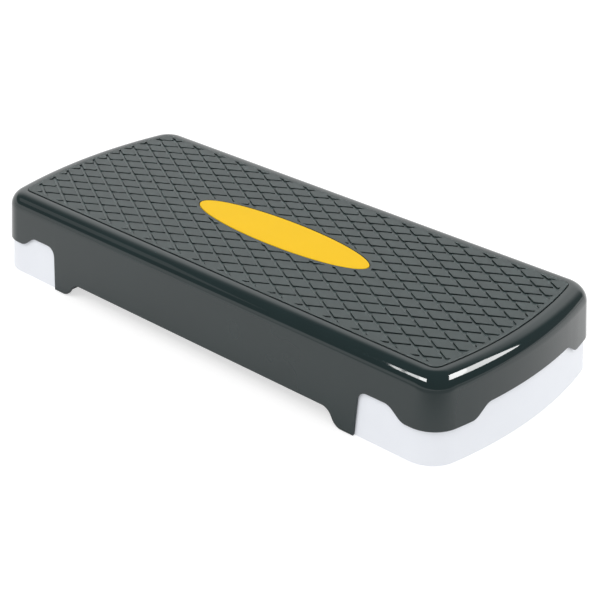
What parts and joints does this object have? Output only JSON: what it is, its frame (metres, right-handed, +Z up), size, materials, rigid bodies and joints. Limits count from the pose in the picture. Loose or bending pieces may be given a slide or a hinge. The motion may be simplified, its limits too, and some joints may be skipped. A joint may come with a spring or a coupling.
{
  "type": "aerobic step platform",
  "caption": "Low moulded exercise step with a non-slip tread of raised pads, a drafted skirt, and end legs that slide down and bolt for a second height.",
  "frame": {"origin": "on the floor, under the middle of the deck, standing low with the legs up", "axes": "+X along the length, +Y across the step, +Z up"},
  "size_m": [0.6736, 0.2848, 0.096],
  "materials": {
    "body_plastic": "dark slate grey injection-moulded plastic, glossy rim, satin skirt",
    "mat_rubber": "matt dark grey rubber with raised rhombic pads",
    "badge_plastic": "satin yellow plastic, bare",
    "leg_plastic": "satin cool white plastic",
    "bolt_plastic": "satin dark grey plastic",
    "pad_rubber": "matt black rubber",
    "zinc_steel": "zinc-plated steel"
  },
  "bodies": {
    "platform": {"platform_body": "body_plastic", "tread_mat": "mat_rubber", "badge": "badge_plastic", "foot_pads": "pad_rubber", "stop_washers": "zinc_steel", "stop_screws": "zinc_steel"},
    "left_leg_body": {"left_leg": "leg_plastic", "left_leg_pads": "pad_rubber", "left_keeper_screws": "zinc_steel", "left_front_keeper": "leg_plastic", "left_rear_keeper": "leg_plastic"},
    "right_leg_body": {"right_leg": "leg_plastic", "right_leg_pads": "pad_rubber", "right_keeper_screws": "zinc_steel", "right_front_keeper": "leg_plastic", "right_rear_keeper": "leg_plastic"},
    "left_front_bolt_body": {"left_front_bolt": "bolt_plastic"},
    "left_rear_bolt_body": {"left_rear_bolt": "bolt_plastic"},
    "right_front_bolt_body": {"right_front_bolt": "bolt_plastic"},
    "right_rear_bolt_body": {"right_rear_bolt": "bolt_plastic"}
  },
  "joints": [
    {"name": "left_leg_slide", "type": "slide", "parent": "platform", "child": "left_leg_body", "axis": [0, 0, -1], "range_m": [0, 0.05]},
    {"name": "right_leg_slide", "type": "slide", "parent": "platform", "child": "right_leg_body", "axis": [0, 0, -1], "range_m": [0, 0.05]},
    {"name": "left_front_bolt_slide", "type": "slide", "parent": "left_leg_body", "child": "left_front_bolt_body", "axis": [0, -1, 0], "range_m": [0, 0.006]},
    {"name": "left_rear_bolt_slide", "type": "slide", "parent": "left_leg_body", "child": "left_rear_bolt_body", "axis": [0, 1, 0], "range_m": [0, 0.006]},
    {"name": "right_front_bolt_slide", "type": "slide", "parent": "right_leg_body", "child": "right_front_bolt_body", "axis": [0, -1, 0], "range_m": [0, 0.006]},
    {"name": "right_rear_bolt_slide", "type": "slide", "parent": "right_leg_body", "child": "right_rear_bolt_body", "axis": [0, 1, 0], "range_m": [0, 0.006]}
  ]
}
